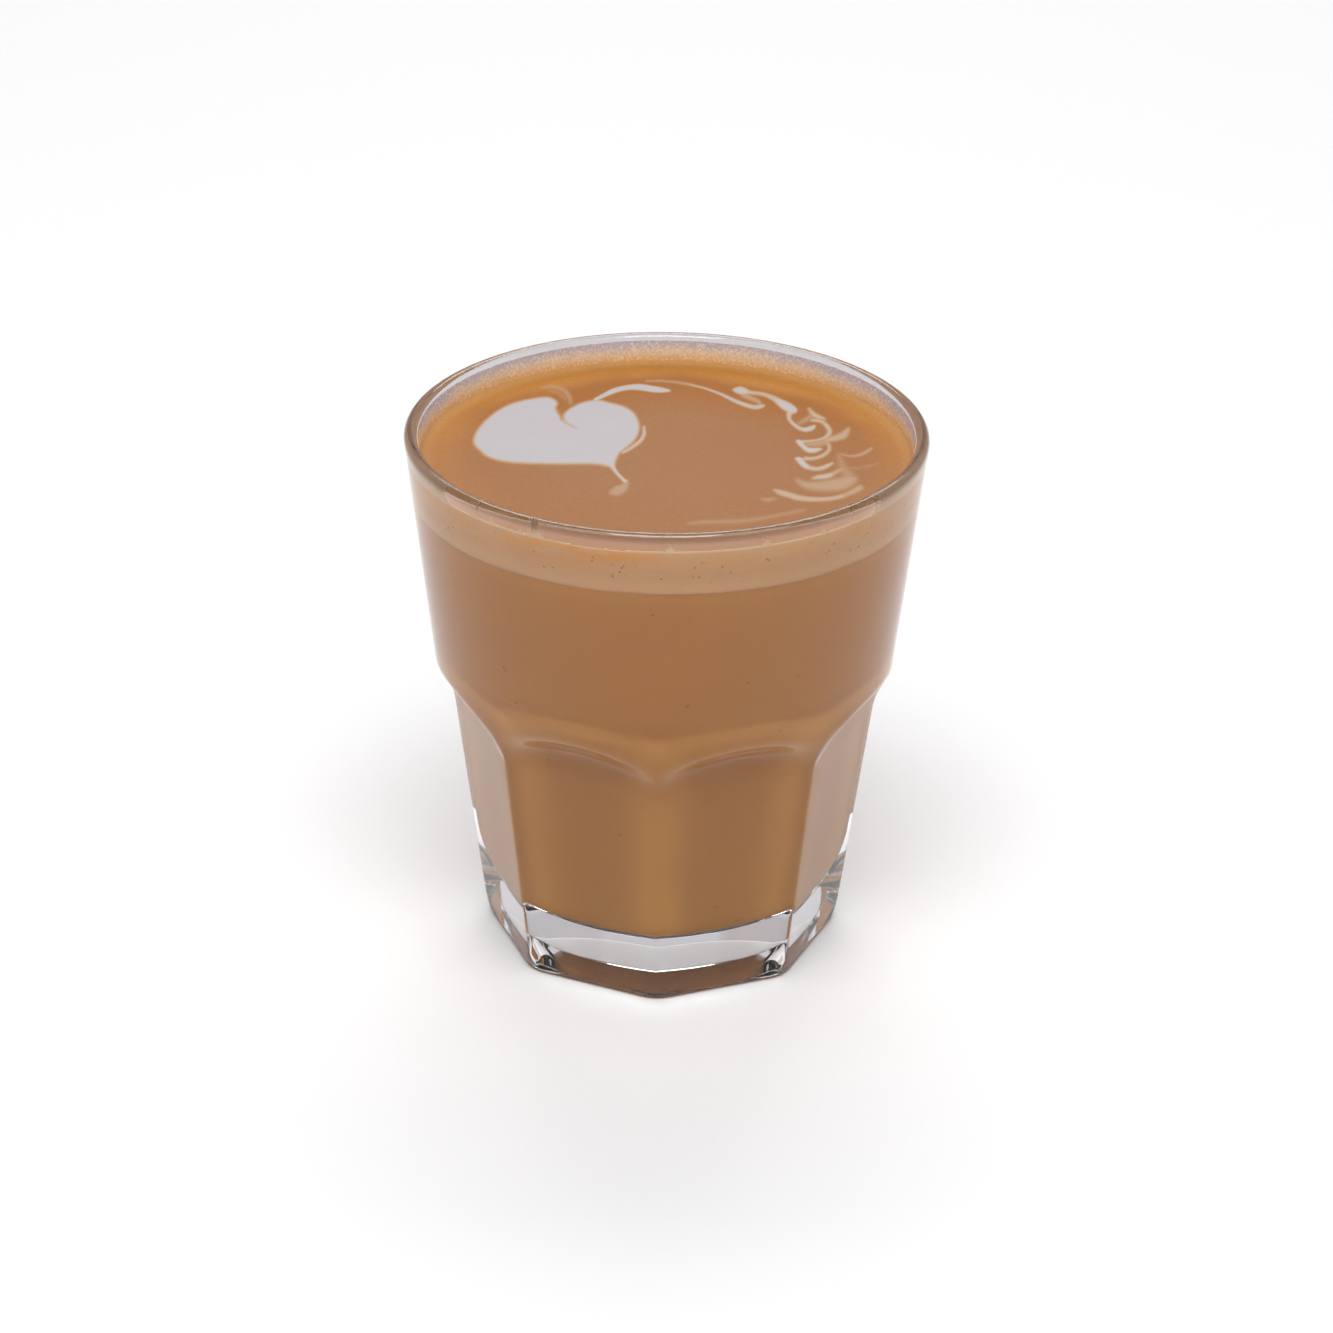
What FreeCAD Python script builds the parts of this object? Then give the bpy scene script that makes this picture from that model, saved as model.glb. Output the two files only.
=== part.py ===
"""Cortado in a thick-based, eight-sided tumbler (millimetres, +Z up).

Origin: centre of the flat ring the glass stands on.  One ridge between two
facets lies exactly on the -Y side.

Pieces
  glass   pressed tumbler: plain flared upper cone with a fully rounded lip,
          eight leaning flat facets with arched, coved tops, heavy base with
          a round recess underneath
  coffee  the drink, from the floor of the cavity up to the foam
  foam    the milk foam layer, with a small meniscus where it meets the wall
"""
import FreeCAD, Part
import math
import os
import Sketcher

doc = FreeCAD.newDocument("cortado")

# ---------------------------------------------------------------- dimensions
sheet = doc.addObject("Spreadsheet::Sheet", "Sheet")
sheet.Label = "Dimensions"
SIZES = [
    # outside of the glass
    ("foot_radius", 27.10, "radius of the eight corners at the foot, corners eased"),
    ("ridge_top_radius", 31.62, "radius of the ridges where the shoulder begins"),
    ("ridge_top_height", 34.0, "height of that point"),
    ("flare_radius", 33.85, "where the plain cone takes over from the ridges"),
    ("flare_height", 39.0, "height of that point"),
    ("lip_centre_radius", 37.76, "centre of the rounded lip"),
    ("lip_centre_height", 81.20, "height of that centre"),
    ("lip_round", 0.98, "half the wall thickness at the lip"),
    # facets
    ("facet_count", 8, "number of facets"),
    ("facet_foot", 25.176, "centre line to facet plane at the foot"),
    ("facet_tilt", 6.98, "outward lean of a facet, degrees"),
    ("arch_centre", 16.45, "up the facet, from the foot to the centre of the arch"),
    ("arch_radius", 29.0, "radius of the arched top of a facet"),
    ("cove_radius", 5.0, "hollow between facet and shoulder"),
    ("facet_reach", 14.0, "how far the facet cut reaches outwards"),
    ("arch_edge_round", 1.10, "rounding of the arched edge"),
    ("foot_round", 0.70, "rounding of the foot"),
    # inside and base
    ("floor_height", 8.7, "thickness of the base"),
    ("floor_radius", 22.0, "radius of the cavity at its floor, before rounding"),
    ("floor_round", 4.0, "rounding of the cavity floor"),
    ("waist_radius", 25.5, "lower end of the inner shoulder"),
    ("waist_height", 36.0, "height of that point"),
    ("shoulder_radius", 33.10, "upper end of the inner shoulder"),
    ("shoulder_height", 49.6, "height of that point"),
    ("shoulder_round", 6.0, "rounding of both ends of the inner shoulder"),
    ("recess_depth", 2.4, "recess under the base"),
    ("recess_radius", 17.8, "flat part of that recess"),
    ("ring_inner", 22.2, "inner edge of the ring it stands on"),
    # drink
    ("foam_floor", 72.2, "level where coffee ends and foam begins"),
    ("drink_level", 77.7, "level of the drink"),
    ("meniscus_rise", 0.40, "how far the foam climbs at the wall"),
    ("meniscus_width", 1.60, "width of that rise"),
]
for row, (name, value, note) in enumerate(SIZES, start=1):
    sheet.set("A%d" % row, name)
    sheet.set("B%d" % row, str(value))
    sheet.set("C%d" % row, note)
    sheet.setAlias("B%d" % row, name)
doc.recompute()


def cell(name):
    return float(sheet.get(name))


def value_of(expression):
    """The number an expression over the sheet gives, for a starting shape."""
    total = doc.addObject("App::FeaturePython", "Scratch")
    total.addProperty("App::PropertyFloat", "Value")
    total.setExpression("Value", expression)
    total.recompute()
    number = float(total.Value)
    doc.removeObject(total.Name)
    return number


def S(name):
    return "Sheet." + name


# The plain inner wall above the shoulder: one straight cone up to the lip.
LIP_INNER = "(%s - %s)" % (S("lip_centre_radius"), S("lip_round"))
LIP_OUTER = "(%s + %s)" % (S("lip_centre_radius"), S("lip_round"))


def inner_wall(level):
    """Radius of the upper cavity cone at a level, as an expression."""
    return "(%s + (%s - %s) * (%s - %s) / (%s - %s))" % (
        S("shoulder_radius"), LIP_INNER, S("shoulder_radius"),
        level, S("shoulder_height"), S("lip_centre_height"), S("shoulder_height"))


# ------------------------------------------------------------------- helpers
def origin_part(body, role):
    for feature in body.Origin.OriginFeatures:
        if feature.Role == role:
            return feature
    raise RuntimeError("no " + role)


def outline(body, name, points, arcs=(), offset=None):
    """A closed sketch in the XZ plane through points given as expressions.

    points: (x expression, y expression), a coordinate of None lying on the
    axis.  arcs: {index of the side: (centre x, centre y, counter-clockwise)}
    """
    sketch = body.newObject("Sketcher::SketchObject", name)
    sketch.AttachmentSupport = [(origin_part(body, "XZ_Plane"), "")]
    sketch.MapMode = "FlatFace"
    if offset:
        for path, expression in offset:
            sketch.setExpression(path, expression)
    xy = [(0.0 if x is None else value_of(x), 0.0 if y is None else value_of(y))
          for x, y in points]
    count = len(points)
    ids, starts, ends = [], [], []
    arcs = dict(arcs)
    for i in range(count):
        a, b = xy[i], xy[(i + 1) % count]
        if i in arcs:
            cx, cy, forward = arcs[i]
            c = FreeCAD.Vector(value_of(cx), value_of(cy), 0)
            ra = math.hypot(a[0] - c.x, a[1] - c.y)
            t0 = math.atan2(a[1] - c.y, a[0] - c.x)
            t1 = math.atan2(b[1] - c.y, b[0] - c.x)
            circle = Part.Circle(c, FreeCAD.Vector(0, 0, 1), ra)
            if forward:
                gid = sketch.addGeometry(Part.ArcOfCircle(circle, t0, t1), False)
                starts.append(1)
                ends.append(2)
            else:
                gid = sketch.addGeometry(Part.ArcOfCircle(circle, t1, t0), False)
                starts.append(2)
                ends.append(1)
        else:
            gid = sketch.addGeometry(Part.LineSegment(
                FreeCAD.Vector(a[0], a[1], 0), FreeCAD.Vector(b[0], b[1], 0)), False)
            starts.append(1)
            ends.append(2)
        ids.append(gid)
    for i in range(count):
        j = (i + 1) % count
        sketch.addConstraint(Sketcher.Constraint(
            "Coincident", ids[i], ends[i], ids[j], starts[j]))
    for i, (x, y) in enumerate(points):
        for axis, expression, number in (("X", x, xy[i][0]), ("Y", y, xy[i][1])):
            if expression is None:
                sketch.addConstraint(Sketcher.Constraint(
                    "PointOnObject", ids[i], starts[i], -2 if axis == "X" else -1))
            else:
                k = sketch.addConstraint(Sketcher.Constraint(
                    "Distance" + axis, -1, 1, ids[i], starts[i], number))
                sketch.renameConstraint(k, "p%d%s" % (i, axis.lower()))
                sketch.setExpression("Constraints.p%d%s" % (i, axis.lower()), expression)
    for i, (cx, cy, _) in arcs.items():
        # one more size fixes an arc whose two ends are placed
        k = sketch.addConstraint(Sketcher.Constraint(
            "DistanceY", -1, 1, ids[i], 3, value_of(cy)))
        sketch.renameConstraint(k, "c%dy" % i)
        sketch.setExpression("Constraints.c%dy" % i, cy)
    return sketch


def turned(body, name, sketch):
    feature = body.newObject("PartDesign::Revolution", name)
    feature.Profile = sketch
    feature.ReferenceAxis = (sketch, ["V_Axis"])
    feature.Angle = 360.0
    return feature


def ring_edges(shape, radius, height, near=0.02):
    """Names of the round edges about Z at a radius and a height."""
    found = []
    for i, edge in enumerate(shape.Edges, start=1):
        box = edge.BoundBox
        if abs(box.ZMax - height) < near and abs(box.ZMin - height) < near:
            p = edge.Vertexes[0].Point
            if abs(math.hypot(p.x, p.y) - radius) < near and hasattr(edge.Curve, "Radius"):
                found.append("Edge%d" % i)
    return found


def rounded(body, base, name, edges, size):
    if not edges:
        raise RuntimeError("no edges for " + name)
    feature = body.newObject("PartDesign::Fillet", name)
    feature.Base = (base, edges)
    feature.setExpression("Radius", S(size))
    doc.recompute()
    return feature


# --------------------------------------------------------------------- glass
glass = doc.addObject("PartDesign::Body", "glass")
glass.Label = "glass"
blank_sketch = outline(glass, "GlassOutline", [
    (None, S("recess_depth")),
    (S("recess_radius"), S("recess_depth")),
    (S("ring_inner"), None),
    (S("foot_radius"), None),
    (S("ridge_top_radius"), S("ridge_top_height")),
    (S("flare_radius"), S("flare_height")),
    (LIP_OUTER, S("lip_centre_height")),
    (LIP_INNER, S("lip_centre_height")),
    (S("shoulder_radius"), S("shoulder_height")),
    (S("waist_radius"), S("waist_height")),
    (S("floor_radius"), S("floor_height")),
    (None, S("floor_height")),
], arcs={6: (S("lip_centre_radius"), S("lip_centre_height"), True)})
blank = turned(glass, "Blank", blank_sketch)
doc.recompute()

inner = []
for r, z in (("shoulder_radius", "shoulder_height"), ("waist_radius", "waist_height")):
    inner += ring_edges(blank.Shape, cell(r), cell(z))
bend = rounded(glass, blank, "InnerShoulder", inner, "shoulder_round")
floor = rounded(glass, bend, "InnerFloor",
                ring_edges(bend.Shape, cell("floor_radius"), cell("floor_height")),
                "floor_round")

# One facet: a flat disc cut with a hollow rim, turned about the facet's own
# normal.  Its frame stands on the facet plane at the centre of the arch.
TILT = "(%s * 1 deg)" % S("facet_tilt")
facet_sketch = outline(glass, "FacetOutline", [
    (None, None),
    (S("facet_reach"), None),
    (S("facet_reach"), S("arch_radius")),
    (S("cove_radius"), S("arch_radius")),
    (None, "%s - %s" % (S("arch_radius"), S("cove_radius"))),
], arcs={3: (S("cove_radius"), "%s - %s" % (S("arch_radius"), S("cove_radius")), True)},
    offset=[
        ("AttachmentOffset.Base.x", "%s + %s * sin(%s)" % (S("facet_foot"), S("arch_centre"), TILT)),
        ("AttachmentOffset.Base.y", "%s * cos(%s)" % (S("arch_centre"), TILT)),
        ("AttachmentOffset.Rotation.Angle", "-%s" % TILT),
    ])
doc.recompute()
before = floor.Shape.Volume
facet = glass.newObject("PartDesign::Groove", "Facet")
facet.Profile = facet_sketch
facet.ReferenceAxis = (facet_sketch, ["H_Axis"])
facet.Angle = 360.0
doc.recompute()
one = before - facet.Shape.Volume
if one < 50.0:
    raise RuntimeError("the facet cut removes nothing")

facets = glass.newObject("PartDesign::PolarPattern", "Facets")
facets.Originals = [facet]
facets.Axis = (origin_part(glass, "Z_Axis"), [""])
facets.Angle = 360.0
facets.setExpression("Occurrences", S("facet_count"))
glass.Tip = facets
doc.recompute()
if before - facets.Shape.Volume < 7.0 * one:
    raise RuntimeError("the facets are not repeated")


def arch_edges(shape):
    """The arched edges: between the plain outer cone and a hollow rim."""
    names = []
    for i, edge in enumerate(shape.Edges, start=1):
        box = edge.BoundBox
        if box.ZMin < 38.0 or box.ZMax > 47.0 or edge.Length < 2.0:
            continue
        p = edge.valueAt((edge.FirstParameter + edge.LastParameter) / 2)
        if math.hypot(p.x, p.y) > cell("flare_radius") - 0.6 and box.ZLength > 0.3:
            names.append("Edge%d" % i)
    return names


last = facets
edge_names = arch_edges(last.Shape)
print("arched edges:", len(edge_names))
for name, edges, size in (("ArchEdges", edge_names, "arch_edge_round"),):
    feature = rounded(glass, last, name, edges, size)
    if "Invalid" in feature.State or feature.Shape.isNull() or not feature.Shape.isValid():
        print(name, "could not be rounded; left sharp")
        glass.removeObject(feature)
        doc.removeObject(feature.Name)
        glass.Tip = last
        doc.recompute()
    else:
        last = feature

foot = [("Edge%d" % i) for i, e in enumerate(last.Shape.Edges, start=1)
        if e.BoundBox.ZMax < 0.01 and e.BoundBox.ZMin > -0.01
        and min(math.hypot(v.Point.x, v.Point.y) for v in e.Vertexes) > cell("ring_inner") + 1.0]
print("foot edges:", len(foot))
feature = rounded(glass, last, "FootEdge", foot, "foot_round")
if "Invalid" in feature.State or feature.Shape.isNull() or not feature.Shape.isValid():
    print("FootEdge could not be rounded; left sharp")
    glass.removeObject(feature)
    doc.removeObject(feature.Name)
    glass.Tip = last
    doc.recompute()
else:
    last = feature
glass.Tip = last
# the ridge between two facets is brought onto the -Y axis
glass.Placement = FreeCAD.Placement(
    FreeCAD.Vector(0, 0, 0),
    FreeCAD.Rotation(FreeCAD.Vector(0, 0, 1), 180.0 / cell("facet_count")))

# -------------------------------------------------------------------- coffee
coffee = doc.addObject("PartDesign::Body", "coffee")
coffee.Label = "coffee"
coffee_sketch = outline(coffee, "CoffeeOutline", [
    (None, S("floor_height")),
    (S("floor_radius"), S("floor_height")),
    (S("waist_radius"), S("waist_height")),
    (S("shoulder_radius"), S("shoulder_height")),
    (inner_wall(S("foam_floor")), S("foam_floor")),
    (None, S("foam_floor")),
])
coffee_turned = turned(coffee, "CoffeeTurned", coffee_sketch)
doc.recompute()
inner = []
for r, z in (("shoulder_radius", "shoulder_height"), ("waist_radius", "waist_height")):
    inner += ring_edges(coffee_turned.Shape, cell(r), cell(z))
coffee_bend = rounded(coffee, coffee_turned, "CoffeeShoulder", inner, "shoulder_round")
coffee_floor = rounded(coffee, coffee_bend, "CoffeeFloor",
                       ring_edges(coffee_bend.Shape, cell("floor_radius"), cell("floor_height")),
                       "floor_round")
coffee.Tip = coffee_floor

# ---------------------------------------------------------------------- foam
foam = doc.addObject("PartDesign::Body", "foam")
foam.Label = "foam"
CLIMB = "(%s + %s)" % (S("drink_level"), S("meniscus_rise"))
foam_sketch = outline(foam, "FoamOutline", [
    (None, S("foam_floor")),
    (inner_wall(S("foam_floor")), S("foam_floor")),
    (inner_wall(CLIMB), CLIMB),
    ("%s - %s" % (inner_wall(CLIMB), S("meniscus_width")), S("drink_level")),
    (None, S("drink_level")),
])
foam_turned = turned(foam, "FoamTurned", foam_sketch)
foam.Tip = foam_turned
doc.recompute()

# -------------------------------------------------------------- check, write
for obj in doc.Objects:
    if "Invalid" in obj.State or "Error" in obj.State:
        raise RuntimeError("%s failed: %s" % (obj.Name, obj.State))
os.makedirs("parts", exist_ok=True)
for body in (glass, coffee, foam):
    shape = body.Shape
    if shape.isNull() or not shape.isValid() or len(shape.Solids) != 1:
        raise RuntimeError(body.Label + " is not one valid solid")
    box = shape.BoundBox
    print("%-7s volume %9.1f mm3  faces %3d  x %.2f..%.2f  y %.2f..%.2f  z %.2f..%.2f" % (
        body.Label, shape.Volume, len(shape.Faces), box.XMin, box.XMax,
        box.YMin, box.YMax, box.ZMin, box.ZMax))
    shape.exportStep("parts/%s.step" % body.Label)
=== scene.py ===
import math
import random
import bpy
import numpy as np
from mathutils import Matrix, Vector


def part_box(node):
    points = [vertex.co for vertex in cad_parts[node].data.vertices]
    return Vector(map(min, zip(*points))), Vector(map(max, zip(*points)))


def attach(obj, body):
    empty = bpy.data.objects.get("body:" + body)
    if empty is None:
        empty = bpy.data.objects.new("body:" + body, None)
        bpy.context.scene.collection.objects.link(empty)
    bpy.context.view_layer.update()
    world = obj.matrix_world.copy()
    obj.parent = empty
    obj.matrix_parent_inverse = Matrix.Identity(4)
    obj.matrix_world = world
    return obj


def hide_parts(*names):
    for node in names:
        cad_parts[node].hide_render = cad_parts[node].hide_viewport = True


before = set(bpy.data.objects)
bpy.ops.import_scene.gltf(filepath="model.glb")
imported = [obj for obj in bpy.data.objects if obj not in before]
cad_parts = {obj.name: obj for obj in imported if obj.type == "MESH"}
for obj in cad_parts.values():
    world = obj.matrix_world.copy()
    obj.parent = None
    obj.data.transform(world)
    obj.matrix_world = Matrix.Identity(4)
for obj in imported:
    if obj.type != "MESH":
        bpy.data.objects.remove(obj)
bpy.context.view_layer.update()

MM = 0.001
rng = np.random.default_rng(7)
random.seed(7)

glass_lo, glass_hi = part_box("glass")
coffee_lo, coffee_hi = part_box("coffee")
foam_lo, foam_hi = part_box("foam")

# ------------------------------------------------------------ glass: true form
FACETS = 8
FACET_FOOT, TILT = 25.176, math.radians(6.98)
ARCH_C, ARCH_R, COVE = 16.45, 29.0, 5.0
COS_T, SIN_T, TAN_T = math.cos(TILT), math.sin(TILT), math.tan(TILT)
LIP_R, LIP_Z, LIP_A = 37.76, 81.20, 0.98
FLARE_R, FLARE_Z = 33.85, 39.0
CONE = (LIP_R + LIP_A - FLARE_R) / (LIP_Z - FLARE_Z)
RIDGE_SOFT, FOOT_SOFT, ARCH_SOFT = 0.40, 3.0, 2.8
FLOOR_Z, FLOOR_R, FLOOR_ROUND = 8.7, 22.0, 4.0
RECESS, RECESS_R, RING_R = 2.4, 17.8, 22.2
LIES_TO = 44.0
WAIST_R, WAIST_Z = 25.5, 36.0
SHOULDER_R, SHOULDER_Z, SHOULDER_ROUND = 33.10, 49.6, 6.0
FOAM_Z = foam_lo[2] / MM
RISE = 0.40
LEVEL = foam_hi[2] / MM - RISE


def smax(a, b, k):
    h = np.maximum(k - np.abs(a - b), 0.0) / k
    return np.maximum(a, b) + h * h * k * 0.25


def cone_radius(z):
    return FLARE_R + CONE * (z - FLARE_Z)


def facet_air(r, phi, z):
    """Distance into the air of one facet's cut; negative inside the glass."""
    n, x = r * np.cos(phi), r * np.sin(phi)
    v = (n - FACET_FOOT - TAN_T * z) * COS_T
    u = z * COS_T + (n - FACET_FOOT) * SIN_T
    rad = np.hypot(x, u - ARCH_C)
    d = rad - (ARCH_R - COVE)
    hollow = COVE - np.hypot(d, COVE - v)
    wall = ARCH_R - rad
    return np.where(d < 0, v, np.where(v < COVE, hollow, wall))


def outer_radius(phi, z):
    """Outer radius of the glass on rays at angle phi from a facet's middle."""
    # the ridges are crisp, and open out into rounded corners at the foot
    soft = RIDGE_SOFT + (FOOT_SOFT - RIDGE_SOFT) * np.clip(1 - z / 3.5, 0, 1) ** 2
    lo = np.full(np.broadcast(phi, z).shape, 18.0)
    hi = np.full_like(lo, 44.0)
    for _ in range(44):
        r = (lo + hi) / 2
        plain = (r - cone_radius(z)) * 0.993
        own = facet_air(r, phi, z)
        side = facet_air(r, math.pi / 4 - phi, z)
        s = smax(plain, smax(own, side, soft), ARCH_SOFT)
        inside = s < 0
        lo = np.where(inside, r, lo)
        hi = np.where(inside, hi, r)
    return (lo + hi) / 2


def rounded_profile(points, radii, step=0.35):
    """A polyline through points with its inner corners rounded to radii."""
    out = [np.array(points[0], float)]
    for i in range(1, len(points) - 1):
        a, b, c = (np.array(points[j], float) for j in (i - 1, i, i + 1))
        rad = radii[i]
        if rad <= 0:
            out.append(b)
            continue
        d1, d2 = (a - b) / np.linalg.norm(a - b), (c - b) / np.linalg.norm(c - b)
        half = math.acos(float(np.clip(d1 @ d2, -1, 1))) / 2
        reach = rad / math.tan(half)
        mid = (d1 + d2) / np.linalg.norm(d1 + d2)
        centre = b + mid * rad / math.sin(half)
        p, q = b + d1 * reach, b + d2 * reach
        t0 = math.atan2(*(p - centre)[::-1])
        t1 = math.atan2(*(q - centre)[::-1])
        dt = (t1 - t0 + math.pi) % (2 * math.pi) - math.pi
        n = max(3, int(abs(dt) * rad / step) + 1)
        out += [centre + rad * np.array([math.cos(t0 + dt * k / n), math.sin(t0 + dt * k / n)])
                for k in range(n + 1)]
    out.append(np.array(points[-1], float))
    return out


def subdivided(points, step):
    out = [points[0]]
    for a, b in zip(points[:-1], points[1:]):
        n = max(1, int(round(np.linalg.norm(b - a) / step)))
        out += [a + (b - a) * k / n for k in range(1, n + 1)]
    return out


def inner_cone(z):
    top = LIP_R - LIP_A
    return SHOULDER_R + (top - SHOULDER_R) * (z - SHOULDER_Z) / (LIP_Z - SHOULDER_Z)


def cavity(top_z, grow=0.0, step=0.35):
    """(r, z) from the middle of the cavity floor up its wall to top_z."""
    pts = [(0.0, FLOOR_Z), (FLOOR_R, FLOOR_Z), (WAIST_R, WAIST_Z),
           (SHOULDER_R, SHOULDER_Z), (inner_cone(top_z), top_z)]
    prof = rounded_profile(pts, [0, FLOOR_ROUND, SHOULDER_ROUND, SHOULDER_ROUND, 0], step)
    if grow:
        p = np.array(prof)
        t = np.gradient(p, axis=0)
        nrm = np.stack([t[:, 1], -t[:, 0]], 1)
        nrm /= np.linalg.norm(nrm, axis=1)[:, None]
        # the drink wets the wall; on the flat of the floor, where a liquid
        # against glass reflects everything at a low angle, it lies just clear
        lies = p[:, 1] < FLOOR_Z + FLOOR_ROUND * (1 - math.cos(math.radians(LIES_TO)))
        p = p + nrm * np.where(lies, -0.08, grow)[:, None]
        p[0, 0] = 0.0
        prof = list(p)
    return prof


def column_angles():
    """Columns round the glass: close together at the ridges, wider between."""
    t = np.linspace(0, 1, 27)
    phi = (math.pi / 8) * (1 - (1 - t) ** 1.45)       # 0 middle of facet .. ridge
    sector = np.concatenate([-phi[::-1], phi[1:]])[:-1]
    return phi, np.concatenate([sector + k * math.pi / 4 for k in range(FACETS)]), sector


def make_object(name, verts, faces, smooth=True):
    mesh = bpy.data.meshes.new(name)
    verts = np.asarray(verts, float) * MM
    mesh.from_pydata(verts.tolist(), [], faces)
    mesh.update()
    if smooth:
        mesh.polygons.foreach_set("use_smooth", [True] * len(mesh.polygons))
    ob = bpy.data.objects.new(name, mesh)
    bpy.context.scene.collection.objects.link(ob)
    return ob


def ring_faces(rings, cols, base=0, flip=False):
    faces = []
    for i in range(rings - 1):
        a, b = base + i * cols, base + (i + 1) * cols
        for j in range(cols):
            k = (j + 1) % cols
            f = (a + j, a + k, b + k, b + j)
            faces.append(f[::-1] if flip else f)
    return faces


def build_glass():
    phi_half, angles, sector = column_angles()
    cols = len(angles)
    # facet middles lie at -90 +- 22.5 degrees, so a ridge lies on -Y
    theta = angles - math.pi / 2 + math.pi / 8
    local = np.abs(np.concatenate([sector] * FACETS))
    cs, sn = np.cos(theta), np.sin(theta)
    rings = []

    def add(r, z):
        r = np.broadcast_to(np.asarray(r, float), (cols,))
        z = np.broadcast_to(np.asarray(z, float), (cols,))
        rings.append(np.stack([r * cs, r * sn, z], 1))

    # underside, from the middle of the recess out to the foot
    recess = rounded_profile([(0.4, RECESS), (RECESS_R, RECESS), (RING_R, 0.0), (23.4, 0.0)],
                             [0, 0.8, 0.6, 0], 0.15)
    recess = [p for p in subdivided(recess, 1.6)]
    for r, z in recess:
        add(r, z)
    foot = 1.1
    z_foot = outer_radius(local, np.full(cols, foot))
    for k in range(0, 8):
        t = math.pi / 2 * k / 7
        add(z_foot - foot * (1 - math.sin(t)) - (foot - foot * (1 - math.cos(t))) * 0.13,
            foot * (1 - math.cos(t)))
    for z in list(np.linspace(foot, 3.6, 8)[1:]) + list(np.linspace(3.6, 33.0, 10)[1:]):
        add(outer_radius(local, np.full(cols, z)), z)
    for z in np.arange(33.25, 48.6, 0.25):
        add(outer_radius(local, np.full(cols, z)), z)
    for z in np.linspace(48.75, LIP_Z - 0.2, 14):
        add(outer_radius(local, np.full(cols, z)), z)
    for k in range(0, 17):
        t = math.pi * k / 16
        add(LIP_R + LIP_A * math.cos(t), LIP_Z + LIP_A * math.sin(t))
    inside = cavity(LIP_Z)[::-1]
    inside = subdivided([np.array(p) for p in inside], 2.2)
    for r, z in inside[1:-1]:
        add(r, z)
    verts = np.concatenate(rings)
    faces = ring_faces(len(rings), cols)
    # close both middles
    verts = np.concatenate([verts, [[0, 0, RECESS], [0, 0, FLOOR_Z]]])
    c0, c1 = len(verts) - 2, len(verts) - 1
    last = (len(rings) - 1) * cols
    for j in range(cols):
        k = (j + 1) % cols
        faces.append((c0, k, j))
        faces.append((c1, last + j, last + k))
    return make_object("tumbler", verts, faces)


def concentric(n):
    """A square grid mapped onto the unit disc, evenly spaced, round at its edge."""
    g = np.linspace(-1, 1, n + 1)
    a, b = np.meshgrid(g, g, indexing="ij")
    r = np.where(np.abs(a) > np.abs(b), a, b)
    with np.errstate(divide="ignore", invalid="ignore"):
        t = np.where(np.abs(a) > np.abs(b), (math.pi / 4) * (b / np.where(a == 0, 1, a)),
                     math.pi / 2 - (math.pi / 4) * (a / np.where(b == 0, 1, b)))
    t = np.where((a == 0) & (b == 0), 0.0, t)
    return r * np.cos(t), r * np.sin(t)


def build_coffee():
    cols = 192
    th = np.arange(cols) * 2 * math.pi / cols
    prof = subdivided([np.array(p) for p in cavity(FOAM_Z, 0.06)], 2.0)[1:]
    prof = prof + [np.array([prof[-1][0] - 0.12, FOAM_Z + 0.02]), np.array([prof[-1][0] - 0.14, FOAM_Z + 0.5])]
    rings = [np.stack([r * np.cos(th), r * np.sin(th), np.full(cols, z)], 1) for r, z in prof]
    verts = np.concatenate(rings)
    faces = ring_faces(len(rings), cols)
    verts = np.concatenate([verts, [[0, 0, prof[0][1]], [0, 0, prof[-1][1]]]])
    c0, c1 = len(verts) - 2, len(verts) - 1
    last = (len(rings) - 1) * cols
    for j in range(cols):
        k = (j + 1) % cols
        faces.append((c0, k, j))
        faces.append((c1, last + j, last + k))
    return make_object("milk_coffee", verts, faces)


# the milk poured on top: (x, y[, width]) in mm, each joined by a smooth curve;
# its lines are drawn out from front to back, so widths count less that way
STRETCH = 0.444
HEART = [(-16.2, 12.6), (-17.0, 15.0), (-17.4, 16.9), (-17.3, 18.9), (-18.0, 20.4), (-19.0, 21.0), (-20.7, 20.5), (-22.6, 19.4), (-24.4, 17.8), (-26.1, 15.1), (-27.5, 11.6), (-28.4, 8.2), (-28.8, 4.9), (-28.6, 2.5), (-27.6, 0.2), (-26.4, -1.9), (-24.8, -3.2), (-22.9, -3.9), (-20.1, -4.2), (-17.4, -4.2), (-14.6, -4.1), (-11.9, -3.9), (-10.0, -4.0), (-8.5, -4.6), (-7.7, -5.4), (-7.5, -2.8), (-7.0, 0.2), (-5.9, 2.8), (-5.0, 5.3), (-4.5, 8.2), (-4.5, 11.1), (-5.0, 13.9), (-5.8, 16.2), (-7.2, 18.1), (-9.2, 19.3), (-10.8, 20.2), (-11.9, 20.1), (-13.4, 19.1), (-14.8, 17.3), (-15.7, 15.2), (-16.0, 13.2)]
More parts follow.
